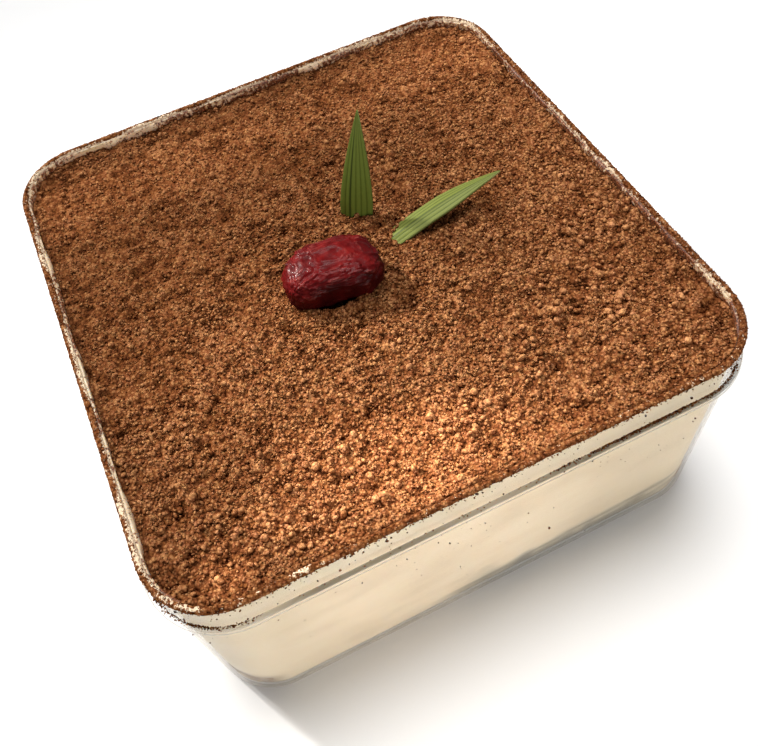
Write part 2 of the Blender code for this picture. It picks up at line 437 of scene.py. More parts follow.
def fruit_look():
    """Dark red skin, lighter along the folds of the ridge attribute, partly its own colour and partly painted
    highlight, and darker with painted shade where depth is low.
    """
    look = Look(
        "dried_fruit", Specular_IOR_Level=0.055, Coat_Weight=0.03, Coat_Roughness=0.10,
        Subsurface_Weight=0.05, Subsurface_Scale=1.0 * MM,
    )
    look.shader.inputs["Subsurface Radius"].default_value = (1.0, 0.2, 0.15)
    dark, red, light = (0.040, 0.0014, 0.0016), (0.082, 0.0030, 0.0034), (0.155, 0.008, 0.007)
    blotch = look.ramp(look.noise(3.0 * MM, 3.0), [(0.30, dark), (0.55, red), (0.75, light)])
    ridged = look.mix(look.attribute("fold_colour_and_glint"), blotch, (0.36, 0.085, 0.07))
    # Painted shade from the depth attribute.
    look.put("Base Color", look.mix(1.0, ridged, look.attribute("depth"), "MULTIPLY"))
    look.put("Roughness", look.ramp(look.noise(0.9 * MM, 3.0), [(0.35, 0.26), (0.7, 0.50)]))
    look.bump(look.noise(0.5 * MM, 3.0, 0.6), 0.06 * MM, 0.6)
    return look.material


def leaf_look(name, dark, light, edge):
    """A green blade: dark between the veins, darkest in the fold with painted shade, and lighter along its
    edge with painted light.
    """
    look = Look(name, Roughness=0.5, Specular_IOR_Level=0.22)
    vein = look.attribute("vein")
    stray = look.math("MULTIPLY", look.math("SUBTRACT", look.noise(1.2 * MM, 3.0), 0.5), 0.5)
    blade = look.ramp(look.math("ADD", vein, stray), [(0.1, dark), (0.8, light)])
    # Painted shade darkest in the fold.
    folded = look.mix(look.attribute("crease_shade"), blade, (0.012, 0.028, 0.004))
    # Painted light along the edge.
    look.put("Base Color", look.mix(look.attribute("rim"), folded, edge))
    look.bump(look.noise(0.3 * MM, 2.0), 0.03 * MM, 0.5)
    return look.material


# ---------------------------------------------------------------- the tub and what fills it


def make_tub():
    """The clear shell with rounded ledge and lip. It takes the place of the plainer CAD shell."""
    under, edge, foot = 0.3 * MM, 0.32 * MM, 0.25 * MM  # radii under, round and above the ledge
    inner_round = BOTTOM_ROUND - WALL / 2
    profile = arc_profile(BASE_INSET + BOTTOM_ROUND, BOTTOM_ROUND, BOTTOM_ROUND, 270, 180, 7)
    heights = np.linspace(0.15, 0.95, 6) * LEDGE_UNDER_Z
    profile += [(float(wall_inset(z)), z) for z in heights]
    profile += arc_profile(-under, LEDGE_UNDER_Z - under, under, 0, 90, 3)
    profile += arc_profile(-LEDGE_REACH + edge, LEDGE_UNDER_Z + edge, edge, 270, 180, 4)
    profile += arc_profile(-LEDGE_REACH + edge, LEDGE_TOP_Z - edge, edge, 180, 90, 4)
    ledge_end = len(profile)
    profile += arc_profile(-foot, LEDGE_TOP_Z + foot, foot, 270, 360, 3)
    profile += [(0.0, LEDGE_TOP_Z + share * BAND_HEIGHT) for share in (0.2, 0.4, 0.6, 0.8)]
    profile += arc_profile(LIP, RIM_Z - LIP, LIP, 180, 0, 8)
    profile += [(WALL, z) for z in np.linspace(RIM_Z - 1.5 * MM, LEDGE_UNDER_Z, 5)]
    inner_inset, inner_z = BASE_INSET + WALL + inner_round, BASE_THICK + inner_round
    profile += arc_profile(inner_inset, inner_z, inner_round, 180, 270, 5)
    places, outward = rim_path(TUB_ROUND)
    rings = rings_from(profile, places, outward)
    faces = capped_faces(len(profile), TUB_ROUND)
    # Painted shadow on the ledge's top, where the shade below the ledge shows through the clear plastic.
    shadow_grey = np.zeros((len(profile), TUB_ROUND))
    shadow_grey[ledge_end - 2 : ledge_end + 2] = painted_ledge_shadow(rings[ledge_end], places)
    look = plastic_look()
    shell = add_piece("tub_shell", rings.reshape(-1, 3), faces, look, {"shadow_grey": shadow_grey.ravel()})
    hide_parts("tub")


def painted_ledge_shadow(points, places):
    """Painted shadow on the ledge: a patchy grey stripe along the front, fading out at both ends."""
    along = points[:, 0]
    patchy_tone = 0.55 + 0.45 * NOISE.smooth(points, 14 * MM)
    fade = ramp(along, -46 * MM, -26 * MM)
    facing = 0.3 + 0.7 * frontness(places) * ramp(along, 50 * MM, 44 * MM)
    return np.clip(0.25 + 0.85 * fade * (0.5 + 0.5 * patchy_tone), 0.0, 1.0) * facing


def film_depth(points):
    """How far cream stands in from the wall above the cocoa, in lumps and runs."""
    lumps = NOISE.fractal(points * (1, 1, 0.6), 5.0 * MM, 4, 0.6)
    return (0.50 + 0.34 * lumps) * MM


def make_cream(look):
    """One body of cream from the base to the rim, reaching just into the clear wall."""
    face = WALL - INTO_WALL
    base_round, rim_round, film = 1.0 * MM, 0.30 * MM, 0.45 * MM
    top = RIM_Z - 0.9 * MM
    profile = [(face + BASE_INSET + BOTTOM_ROUND, BASE_THICK - INTO_WALL)]
    profile += arc_profile(face + BASE_INSET + base_round, BASE_THICK + 0.9 * MM, base_round, 260, 180, 5)
    heights = np.concatenate([np.linspace(3.0 * MM, RIM_Z - 1.4 * MM, 46), [top]])
    profile += [(face + float(wall_inset(z)), z) for z in heights]
    outer_rows = len(profile)
    profile += arc_profile(face + rim_round, RIM_Z - 0.75 * MM, rim_round, 165, 30, 4)
    inner_rows = len(profile)
    profile += [(WALL + film, z) for z in np.linspace(top, RIM_Z - 4.2 * MM, 12)]
    places, outward = rim_path(CREAM_ROUND)
    rings = rings_from(profile, places, outward)
    for row in range(inner_rows, len(profile)):
        rings[row, :, :2] = places - (WALL + film_depth(rings[row]))[:, None] * outward
    rings[outer_rows + 1 :, :, 2] -= 0.9 * MM * frontness(places)  # under the bank of cocoa there
    dust = cream_dust(rings, places)
    dust[: outer_rows - 1] = 0.0
    edge_noise = MORE_NOISE.fractal(rings.reshape(-1, 3), 9.0 * MM, 3).reshape(dust.shape)
    low_shadow = painted_low_shadow(rings, edge_noise)
    low_shadow[outer_rows:] = 0.0
    olive_shade = painted_wall_shade(rings)
    olive_shade[outer_rows:] = 0.0
    cornering = ramp(np.abs(outward).min(axis=1) / math.sqrt(0.5), 0.05, 0.65)
    soak = 0.9 * cornering * ramp(rings[..., 2] + 1.2 * MM * edge_noise, 7.0 * MM, 4.0 * MM)
    values = {"dust": dust, "low_shadow": low_shadow, "olive_shade": olive_shade, "soak": soak}
    values = {key: value.ravel() for key, value in values.items()}
    faces = capped_faces(len(profile), CREAM_ROUND)
    cream = add_piece("cream_fill", rings.reshape(-1, 3), faces, look, values)
    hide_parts("cream")


def cream_dust(rings, places):
    """How much cocoa lies on the film: most of it in front, less round the back left corner."""
    depth = RIM_Z - rings[..., 2]
    patch = NOISE.fractal(rings.reshape(-1, 3), 7.0 * MM, 3).reshape(depth.shape)
    x, y = places.T / MM
    left = ramp(x, -44.0, -48.0) * ramp(y, 36.0, 24.0)
    right = ramp(x, 44.0, 48.0) * (0.55 + 0.45 * ramp(np.abs(y + 4.0), 14.0, 24.0))
    bright = 0.16 * np.exp(-(((x + 44.0) / 14.0) ** 2) - ((y - 46.0) / 14.0) ** 2)
    powdered = 0.55 - 0.02 * left + 0.14 * right + 1.3 * frontness(places) - bright
    return powdered + 0.28 * patch + 0.25 * ramp(depth, 1.2 * MM, 2.2 * MM)


def painted_low_shadow(rings, edge_noise):
    """Painted shadow on the front's cream: dark low down, and in three streaks of refracted shadow that rise
    to the right.
    """
    x, y, z = np.moveaxis(rings, -1, 0)
    front = y < -0.9 * HALF_Y
    reach = ramp(x, -8 * MM, 8 * MM) * ramp(x, 47 * MM, 30 * MM)
    height = (6.5 + 3.5 * edge_noise) * MM
    low_shadow = reach * ramp(z, height + 3 * MM, height - 2.5 * MM) * front
    run = ramp(x, -16 * MM, 0.0) * ramp(x, 48 * MM, 38 * MM)
    for level, rise, width in ((1.6, 0.010, 0.45), (2.4, 0.045, 0.7), (3.2, 0.085, 0.8)):
        line = level * MM + rise * (x + 10 * MM) + 0.4 * MM * edge_noise
        streak = np.exp(-(((z - line) / (width * MM)) ** 2))
        low_shadow = np.maximum(low_shadow, 0.9 * run * streak * front)
    return 0.9 * low_shadow


def painted_wall_shade(rings):
    """Painted shade on the cream, darker and more olive: towards the right, and a little at the left end."""
    x, z = rings[..., 0], rings[..., 2]
    band = ramp(x, -5 * MM, 42 * MM) * ramp(z, LEDGE_UNDER_Z, LEDGE_TOP_Z)
    right = 0.78 * ramp(x, 0 * MM, 34 * MM)
    left = 0.60 * ramp(x, -22 * MM, -40 * MM)
    return 0.8 * np.maximum(np.maximum(band, right), left)


def make_sponge():
    """The soaked sponge, a slab whose drawn-out corners touch the clear wall low down."""
    places, outward = rim_path(TUB_ROUND)
    cornering = np.abs(outward).min(axis=1) / math.sqrt(0.5)
    face = WALL - INTO_WALL
    rows = np.linspace(BASE_THICK + 0.15 * MM, SPONGE_TOP, 14)
    rings = []
    for z in rows:
        points = np.column_stack([places, np.full(TUB_ROUND, z)])
        stray = NOISE.fractal(points, 4.0 * MM, 3)
        slope = ramp(z, SPONGE_TOP - 2.5 * MM, SPONGE_TOP + 0.3 * MM) * 1.6
        inset = face + (-0.35 + (1.0 - cornering) * 0.9 + slope + 0.35 * stray) * MM
        inset = np.maximum(inset, face - 0.15 * MM) + wall_inset(z)
        inset += ramp(z, 2.0 * MM, BASE_THICK) * 0.8 * MM
        points[:, :2] -= inset[:, None] * outward
        rings.append(points)
    faces = capped_faces(len(rows), TUB_ROUND)
    sponge = add_piece("sponge_layer", np.concatenate(rings), faces, sponge_look(), {})
    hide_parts("sponge")


# ---------------------------------------------------------------- cocoa


CALM_SHARE = 0.30  # the calm attribute where the powder is calmest


def bed_height(plane):
    """(height, tone) of the cocoa bed at plan points (n, 2): waves, chains of crumbs, and single crumbs. The
    tone is painted shade that follows the relief.
    """
    flat = np.column_stack([plane, np.zeros(len(plane))])
    edge = np.maximum(np.abs(plane[:, 0]) / HALF_X, np.abs(plane[:, 1]) / HALF_Y)
    wave = NOISE.fractal(flat, 13.0 * MM, 2)
    chain = 1.0 - np.abs(MORE_NOISE.fractal(flat * (0.7, 1.0, 1.0), 2.7 * MM, 3, 0.62))
    lump, lump_chance = NOISE.cells(plane, 1.35 * MM)
    crumb, crumb_chance = MORE_NOISE.cells(plane, 0.80 * MM)
    fine = NOISE.smooth(flat + 0.5 * MM, 0.42 * MM)
    calm = calm_of(plane)
    lumps = lump * np.where(lump_chance > 0.55, lump_chance, 0.1)
    crumbs = crumb * (0.35 + 0.65 * crumb_chance)
    relief = (0.46 + 0.12 * calm) * (chain - 0.62) + (0.30 + 0.1 * calm) * (lumps - 0.25)
    relief += (0.62 - 0.30 * calm) * (crumbs - 0.45) + 0.12 * fine
    front = ramp(-plane[:, 1], HALF_Y - 9 * MM, HALF_Y - 2 * MM)
    banked = 1.1 * ramp(inside(plane, WALL), -4.0 * MM, -0.4 * MM) * front
    height = COCOA_Z + (0.42 * (1.0 - edge**2) + 0.24 * wave + relief + banked) * MM
    # Painted shade: the tone follows the relief, dark in its hollows and light on its crumbs.
    tone_and_shade = 0.40 + (0.50 - 0.16 * calm) * relief + 0.03 * wave
    return height, tone_and_shade


def calm_of(plane):
    """1 towards the back left, where the powder lies finer and softer, and 0 towards the front right."""
    return ramp(plane[:, 1] - 0.45 * plane[:, 0], -12 * MM, 42 * MM)


def fruit_place():
    """(middle, half sizes) of the fruit in the CAD model."""
    low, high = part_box("fruit")
    middle = (low + high) / 2
    half = (high - low) / 2
    return np.array(middle), np.array(half)


def dent(plane, height):
    """The bed is pressed down where the fruit lies, and drawn up against its sides."""
    middle, half = fruit_place()
    away = np.linalg.norm((plane - middle[:2]) / half[:2], axis=1)
    pressed = height - 2.0 * MM * ramp(away, 0.97, 0.72)
    return pressed + 1.0 * MM * ramp(away, 1.28, 1.0) * ramp(away, 0.86, 0.96)


def painted_light_of(plane):
    """Painted light and shade on the powder: a painted pool of light by the front edge and in its left
    corner, less painted light at the back and right, and painted shade along the walls.
    """
    flat = np.column_stack([plane, np.zeros(len(plane))])
    stray = 0.22 * NOISE.fractal(flat, 8 * MM, 2)
    # A painted pool of light by the front edge, its outline broken by noise.
    offset = (plane - np.array([-6.0, -42.0]) * MM) / (np.array([30.0, 13.0]) * MM)
    front = ramp(np.linalg.norm(offset, axis=1) + stray, 1.15, 0.25)
    back = ramp(plane[:, 1] + 8 * MM * stray, 24 * MM, 35 * MM) * ramp(plane[:, 1], 46 * MM, 41 * MM)
    # Painted shade along the walls.
    border = ramp(inside(plane, WALL), -6.0 * MM, -1.0 * MM)
    right = ramp(plane[:, 0], 14 * MM, 42 * MM)
    # A small painted pool of light in the front's left corner.
    corner = np.exp(-np.sum(((plane - np.array([-39.0, -45.5]) * MM) / (4 * MM)) ** 2, axis=1))
    return (0.92 + 0.68 * front + 0.30 * back + 0.30 * right + 0.8 * corner) * (1.0 - 0.10 * border)


def surface(plane):
    """(height, tone) of the finished bed. The tone is painted shade that follows the relief."""
    height, tone_and_shade = bed_height(plane)
    return dent(plane, height), tone_and_shade


def make_bed(look):
    """The cocoa bed, a fine grid with the relief of sifted powder, closed below."""
    inset = WALL + 0.25 * MM
    step = 0.36 * MM
    xs = np.arange(-HALF_X + inset, HALF_X - inset + step / 2, step)
    ys = np.arange(-HALF_Y + inset, HALF_Y - inset + step / 2, step)
    gx, gy = np.meshgrid(xs, ys, indexing="ij")
    plane = np.column_stack([gx.ravel(), gy.ravel()])
    quads = grid_faces(len(xs), len(ys), False)
    outside = inside(plane, inset) > 0.0
    quads = quads[~outside[quads].all(axis=1)]
    core = np.array([HALF_X - RIM_CORNER, HALF_Y - RIM_CORNER])
    centre = np.sign(plane) * np.minimum(np.abs(plane), core)
    reach = plane - centre
    length = np.maximum(np.linalg.norm(reach, axis=1), 1e-9)
    plane = np.where(outside[:, None], centre + reach / length[:, None] * (RIM_CORNER - inset), plane)
    used = np.unique(quads)
    renumber = np.zeros(len(plane), int)
    renumber[used] = np.arange(len(used))
    quads, plane = renumber[quads], plane[used]
    height, tone_and_shade = surface(plane)
    points = np.column_stack([plane, height])
    values = {"tone_and_shade": tone_and_shade, "shade": painted_light_of(plane), "calm": CALM_SHARE * calm_of(plane)}
    bed = add_piece("cocoa_bed", points, quads, look, values)
    close_below(bed.data, RIM_Z - 4.0 * MM)
    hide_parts("cocoa")


def close_below(mesh, floor_z):
    """Turns an open sheet into a closed body: its border goes down to floor_z, where one face closes it."""
    bm = bmesh.new()
    bm.from_mesh(mesh)
    bmesh.ops.remove_doubles(bm, verts=bm.verts, dist=1e-6)
    border = [edge for edge in bm.edges if edge.is_boundary]
    made = bmesh.ops.extrude_edge_only(bm, edges=border)["geom"]
    for vert in (item for item in made if isinstance(item, bmesh.types.BMVert)):
        vert.co.z = floor_z
    bmesh.ops.contextual_create(bm, geom=[edge for edge in bm.edges if edge.is_boundary])
    bmesh.ops.recalc_face_normals(bm, faces=bm.faces)
    bm.to_mesh(mesh)
    bm.free()


def ball(subdivisions):
    """(points, triangles) of a unit icosphere."""
    bm = bmesh.new()
    bmesh.ops.create_icosphere(bm, subdivisions=subdivisions, radius=1.0)
    points = np.array([vert.co for vert in bm.verts])
    faces = np.array([[vert.index for vert in face.verts] for face in bm.faces])
    bm.free()
    return points, faces


def octahedron():
    """(points, triangles) of a unit octahedron, facing outwards."""
    points = np.array([(1, 0, 0), (-1, 0, 0), (0, 1, 0), (0, -1, 0), (0, 0, 1), (0, 0, -1)], float)
    faces = []
    for face in [(x, y, z) for x in (0, 1) for y in (2, 3) for z in (4, 5)]:
        a, b, c = points[list(face)]
        outward = np.dot(np.cross(b - a, c - a), a + b + c) > 0
        faces.append(face if outward else face[::-1])
    return points, np.array(faces)


def random_turns(rng, count):
    """(count, 3, 3) random rotation matrices."""
    q = rng.normal(size=(count, 4))
    w, x, y, z = (q / np.linalg.norm(q, axis=1, keepdims=True)).T
    rows = [
        [1 - 2 * (y * y + z * z), 2 * (x * y - z * w), 2 * (x * z + y * w)],
        [2 * (x * y + z * w), 1 - 2 * (x * x + z * z), 2 * (y * z - x * w)],
        [2 * (x * z - y * w), 2 * (y * z + x * w), 1 - 2 * (x * x + y * y)],
    ]
    return np.array(rows).transpose(2, 0, 1)


def scatter(name, rng, places, radii, base, look, tones, shade, rough):
    """One joined mesh of grains: base's shape at each place, turned, stretched and roughened at random."""
    points, faces = base
    count = len(places)
    stretch = rng.uniform(0.60, 1.32, (count, 1, 3)) * radii[:, None, None]
    shaped = points[None] * stretch
    shaped = shaped * rng.normal(1.0, rough, (count, len(points), 1))
    turned = np.einsum("nij,npj->npi", random_turns(rng, count), shaped)
    every = (turned + places[:, None]).reshape(-1, 3)
    tri = (faces[None] + (np.arange(count) * len(points))[:, None, None]).reshape(-1, 3)
    # Painted light and shade: each grain is lighter on top and darker underneath.
    painted_top_light = 0.20 * turned[..., 2] / radii[:, None]
    tone_and_shade = (tones[:, None] + painted_top_light).ravel()
    calm = CALM_SHARE * np.repeat(calm_of(places), len(points))
    values = {"tone_and_shade": tone_and_shade, "shade": np.repeat(shade, len(points)), "calm": calm}
    add_piece(name, every, tri, look, values)


def bed_places(rng, count, density):
    """Random plan points on the bed, kept with the chance that density gives them."""
    kept = np.empty((0, 2))
    while len(kept) < count:
        tried = rng.uniform((-HALF_X, -HALF_Y), (HALF_X, HALF_Y), (count * 2, 2))
        tried = tried[inside(tried, WALL + 0.5 * MM) < 0.0]
        chance = density(tried)
        kept = np.concatenate([kept, tried[rng.uniform(size=len(tried)) < chance]])
    return kept[:count]


def off_garnish(plane, clearance):
    """True where a grain is clear of the fruit."""
    middle, half = fruit_place()
    return np.linalg.norm((plane - middle[:2]) / (half[:2] + clearance), axis=1) > 1.0


# (x, y, size) in mm of the spots where lumps gather
CLUMP_SPOTS = [
    (-36.0, -42.0, 8.0), (-22.0, -40.0, 6.0), (2.0, -40.0, 6.0),
    (18.0, -32.0, 6.0), (32.0, -28.0, 8.0), (42.0, -14.0, 6.0),
]


def clump_density(plane):
    """Larger lumps gather in a few spots near the front and right."""
    total = np.full(len(plane), 0.05)
    for x, y, size in CLUMP_SPOTS:
        away = np.linalg.norm(plane - np.array([x, y]) * MM, axis=1)
        total += 0.7 * np.exp(-((away / (size * MM)) ** 2))
    return np.clip(total, 0.0, 1.0)


def patchy(plane):
    """Small grains lie in patches, and fewer of them where the powder is calm."""
    flat = np.column_stack([plane, np.zeros(len(plane))])
    patches = np.clip(0.55 + 0.45 * NOISE.fractal(flat + 3 * MM, 6.0 * MM, 2), 0.1, 1.0)
    return patches * (1.0 - 0.5 * calm_of(plane))


def make_grains(look):
    """Five kinds of loose cocoa: name, seed, count, radii in mm, shape, density, roughness and lift."""
    kinds = [
        ("cocoa_dust", 31, 15000, (0.12, 0.22), octahedron(), patchy, 0.14, 0.6),
        ("cocoa_crumbs", 32, 21000, (0.18, 0.36), octahedron(), patchy, 0.14, 0.55),
        ("cocoa_grains", 33, 5200, (0.26, 0.46), ball(1), patchy, 0.15, 0.35),
        ("cocoa_granules", 34, 420, (0.42, 0.58), ball(2), clump_density, 0.07, 0.75),
        ("cocoa_clumps", 35, 76, (0.54, 0.72), ball(3), clump_density, 0.04, 0.75),
    ]
    for name, seed, count, (small, large), base, density, rough, lift in kinds:
        rng = np.random.default_rng(seed)
        plane = bed_places(rng, count, density)
        plane = plane[off_garnish(plane, 0.05 * MM)]
        radii = rng.uniform(0.0, 1.0, len(plane)) ** 1.7 * (large - small) * MM + small * MM
        height, tone_and_shade = surface(plane)
        places = np.column_stack([plane, height + (lift - 0.25) * radii])
        # Grains take the bed's painted shade as their tone, with random tone added.
        stray = rng.normal(0.0, 0.12, len(plane)) * (1.0 - 0.4 * calm_of(plane))
        tones = 0.46 + 0.5 * (tone_and_shade - 0.40) + stray
        scatter(name, rng, places, radii, base, look, tones, painted_light_of(plane), rough)


# ---------------------------------------------------------------- dust on the rim, the ledge and the wall


def frontness(places):
    """1 along the front of the rim, where the powder hangs over the edge, and 0 elsewhere."""
    return ramp(-places[:, 1], HALF_Y - 9 * MM, HALF_Y - 1 * MM)


def make_rim_crust(look):
    """Cocoa caught on the rim's lip, ragged over the outer face, with cream showing on the inner half."""
    places, outward = rim_path(CRUST_ROUND)
    base = np.column_stack([places, np.full(CRUST_ROUND, RIM_Z)])
    front = frontness(places)
    back = ramp(places[:, 1], HALF_Y - 12 * MM, HALF_Y - 2 * MM)
    corner = front * ramp(places[:, 0], -30 * MM, -42 * MM)
    ragged = (0.12 + 0.14 * front) * NOISE.fractal(base, 2.6 * MM, 5, 0.7)
    hang = np.clip(0.20 + 0.10 * front + 0.25 * corner + ragged, 0.05, 1.6) * MM
    stray = 0.15 * MORE_NOISE.fractal(base, 1.6 * MM, 4)
    reach = np.clip(0.15 + 1.25 * front + stray, 0.03, 1.6) * MM
    steps = [("out", share) for share in np.linspace(0.0, 1.0, 8)]
    steps += [("lip", angle) for angle in np.radians(np.linspace(160.0, 20.0, 8))]
    steps += [("in", share) for share in np.linspace(0.0, 1.0, 4)]
    rings = np.empty((len(steps), CRUST_ROUND, 3))
    for row, (part, value) in enumerate(steps):
        rough = 0.5 + 0.5 * NOISE.fractal(base + (0, 0, row * 0.2 * MM), 0.8 * MM, 2)
        end = min(1.0, row / 3.0, (len(steps) - 1 - row) / 2.0)
        thick = (-0.02 + end * (0.05 + 0.13 * rough)) * MM
        if part == "lip":
            into = LIP + (LIP + thick) * math.cos(value)
            z = RIM_Z - LIP + (LIP + thick) * math.sin(value)
        elif part == "out":
            into, z = -thick, RIM_Z - LIP - hang * (1.0 - value)
        else:
            into, z = WALL + thick, RIM_Z - LIP - reach * value
        rings[row, :, :2] = places - into[:, None] * outward
        rings[row, :, 2] = z
    flat = rings.reshape(-1, 3)
    tone_and_shade = 0.42 + 0.16 * NOISE.fractal(flat, 0.8 * MM, 2)
    across = np.repeat(np.linspace(0.0, 1.0, len(steps)), CRUST_ROUND)
    left = ramp(places[:, 0], -44 * MM, -49 * MM)
    cover = np.tile(0.84 - 0.10 * back - 0.13 * left + 0.8 * front, len(steps))
    cover += 0.20 * MORE_NOISE.fractal(flat, 6.0 * MM, 3)
    smear = np.tile(front * ramp(places[:, 0], -20 * MM, -36 * MM), len(steps))
    smear *= ramp(MORE_NOISE.fractal(flat, 2.4 * MM, 3), -0.05, 0.40) * ramp(across, 0.42, 0.55)
    creamy = np.clip(ramp(across - cover, -0.12, 0.12) + 0.95 * smear, 0.0, 1.0)
    values = {"tone_and_shade": tone_and_shade, "shade": np.ones(len(flat)), "creamy": creamy}
    add_piece("rim_crust", flat, grid_faces(len(steps), CRUST_ROUND, True), look, values)


def make_rim_grains(look):
    """Loose grains on and just below the lip."""
    rng = np.random.default_rng(41)
    count = RIM_GRAINS
    places, outward = rim_path(GRAIN_ROUND)
    at = rng.integers(0, len(places), count)
    turn = rng.uniform(40.0, 210.0, count)
    front = frontness(places[at])
    drop = np.where(turn > 150, rng.exponential(0.28 + 0.10 * front, count) * MM, 0.0)
    radii = rng.uniform(0.07, 0.19, count) * MM
    way = np.radians(np.clip(turn, 0, 180))
    away = LIP + 0.09 * MM
    into = LIP + away * np.cos(way)
    z = RIM_Z - LIP + away * np.sin(way) - drop
    points = np.column_stack([places[at] - into[:, None] * outward[at], z])
    tones = rng.normal(0.42, 0.14, count)
    scatter("rim_grains", rng, points, radii, octahedron(), look, tones, np.ones(count), 0.1)


def make_ledge_dust(look):
    """A broken line of cocoa along the band's foot, thick on the front's right and round its left corner."""
    rng = np.random.default_rng(43)
    places, outward = rim_path(LEDGE_ROUND)
    x, y = places.T / MM
    front = ramp(-y, 46.0, 49.0)
    right = ramp(x, 6.0, 26.0) * front
    left = ramp(x, -36.0, -41.0) * ramp(-y, 30.0, 40.0)
    others = 0.16 * (1.0 - front)
    patch = ramp(NOISE.fractal(np.column_stack([places, np.zeros(len(places))]), 5 * MM, 3), -0.5, 0.5)
    chance = np.clip((0.95 * right + 0.55 * left + others) * (0.35 + 0.65 * patch) + 0.02, 0.0, 1.0)
    at = rng.choice(len(places), LEDGE_GRAINS, p=chance / chance.sum())
    radii = rng.uniform(0.07, 0.17, len(at)) * MM
    off = np.abs(rng.normal(0.0, 0.22, len(at))) * MM
    plane = places[at] + (0.03 * MM + off)[:, None] * outward[at]
    points = np.column_stack([plane, LEDGE_TOP_Z + 0.4 * radii])
    tones = rng.normal(0.30, 0.12, len(at))
    scatter("ledge_dust", rng, points, radii, octahedron(), look, tones, np.ones(len(at)), 0.1)


def make_specks(look):
    """Single grains stuck to the band and the walls, most of them high up on each."""
    rng = np.random.default_rng(47)
    count = BAND_SPECKS + WALL_SPECKS
    places, outward = rim_path(GRAIN_ROUND)
    at = rng.integers(0, len(places), count)
    height = np.concatenate([
        RIM_Z - 0.9 * MM - rng.exponential(1.7, BAND_SPECKS) * MM,
        LEDGE_UNDER_Z - 0.6 * MM - rng.exponential(9.0, WALL_SPECKS) * MM,
    ])
    lowest = np.where(np.arange(count) < BAND_SPECKS, LEDGE_TOP_Z + 0.3 * MM, 4 * MM)
    height = np.maximum(height, lowest)
    radii = (0.05 + rng.exponential(0.055, count)) * MM
    radii = np.minimum(radii, 0.28 * MM)
    inset = wall_inset(height)
    points = np.column_stack([places[at] - (0.1 * radii + inset)[:, None] * outward[at], height])
    tones = rng.normal(0.12, 0.10, count)
    scatter("wall_specks", rng, points, radii, ball(1), look, tones, np.ones(count), 0.1)


# ---------------------------------------------------------------- garnish


def make_fruit():
    """A dried fruit: a blocky oval whose skin is drawn into a net of thin folds."""
    middle, half = fruit_place()
    points, faces = ball(6)
    blocky = np.sign(points) * np.abs(points) ** 0.68
    stray = np.column_stack([MORE_NOISE.smooth(points + shift, 0.5) for shift in (1.0, 4.0, 8.0)])
    warp = points + 0.20 * stray
    large = 1.0 - np.abs(NOISE.fractal(warp * (0.8, 1.1, 1.3) + 2.0, 0.44, 3, 0.6))
    small = 1.0 - np.abs(MORE_NOISE.fractal(warp * (0.8, 1.1, 1.3) + 5.0, 0.22, 2, 0.6))
    lobes = NOISE.fractal(points + 3.0, 0.8, 2)
    folds = 0.048 * np.clip(large, 0.0, 1.0) ** 7 + 0.026 * np.clip(small, 0.0, 1.0) ** 6
    radius = 0.86 + folds + 0.060 * lobes
    swells = [
        ((-0.90, -0.42, 0.0), 0.13), ((0.72, -0.66, 0.2), 0.15),
        ((0.80, 0.55, 0.2), 0.02), ((-0.55, 0.80, 0.2), -0.04),
    ]
    for way, swell in swells:
        radius += swell * ramp(points @ np.array(way), 0.55, 1.0)
    shaped = blocky * radius[:, None] * half
    turn = np.array(Euler((0.0, 0.0, math.radians(-8.0))).to_matrix())
    shaped = shaped @ turn.T + middle
    broken = ramp(NOISE.smooth(points + 7.0, 0.3), -0.25, 0.45)
    # Paler threads along the folds: partly the skin's own colour, partly painted highlight, broken into short
    # glints.
    thread = np.maximum(ramp(large, 0.94, 1.0), 0.7 * ramp(small, 0.95, 1.0)) * broken
    # Painted shade: the fruit is darker low down and at its front, and lighter on top towards the back.
    depth = 0.35 + 0.65 * ramp(points @ np.array((-0.30, 0.42, 0.86)), -0.55, 0.60)
    values = {"fold_colour_and_glint": 0.42 * thread, "depth": depth}
    fruit = add_piece("date", shaped, faces, fruit_look(), values)
    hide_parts("fruit")


LEAF_THICK = 0.42 * MM
LEAF_BURIED = 1.3 * MM  # how deep a blade stands in the cocoa
LEAF_ROWS = 60
VEIN_COLUMNS = 6  # columns of the blade's grid to each vein


def blade_points(length, half_width, taper_from, fold_at, fold_rise, droop, veins):
    """Grid of a blade that grows along +Z and faces -Y: points, and how far across each is."""
    along = np.linspace(0.0, 1.0, LEAF_ROWS)
    across = np.linspace(-1.0, 1.0, veins * VEIN_COLUMNS + 1)
    u, v = np.meshgrid(along, across, indexing="ij")
    narrow = np.clip(u - taper_from, 0.0, None) / (1.0 - taper_from)
    half = half_width * (0.03 + 0.97 * (1.0 - narrow**1.5))
    rise = fold_rise * half * (1.0 - np.abs(v - fold_at) / (1.0 + abs(fold_at)))
    rib = 0.045 * MM * np.abs(np.sin(np.pi * veins * (v + 1.0) / 2.0)) * (1.0 - 0.7 * u)
    back = droop * u**2 - rise - rib
    z = -LEAF_BURIED + (length + LEAF_BURIED) * u
    return np.stack([half * v, back, z], axis=-1), u, v


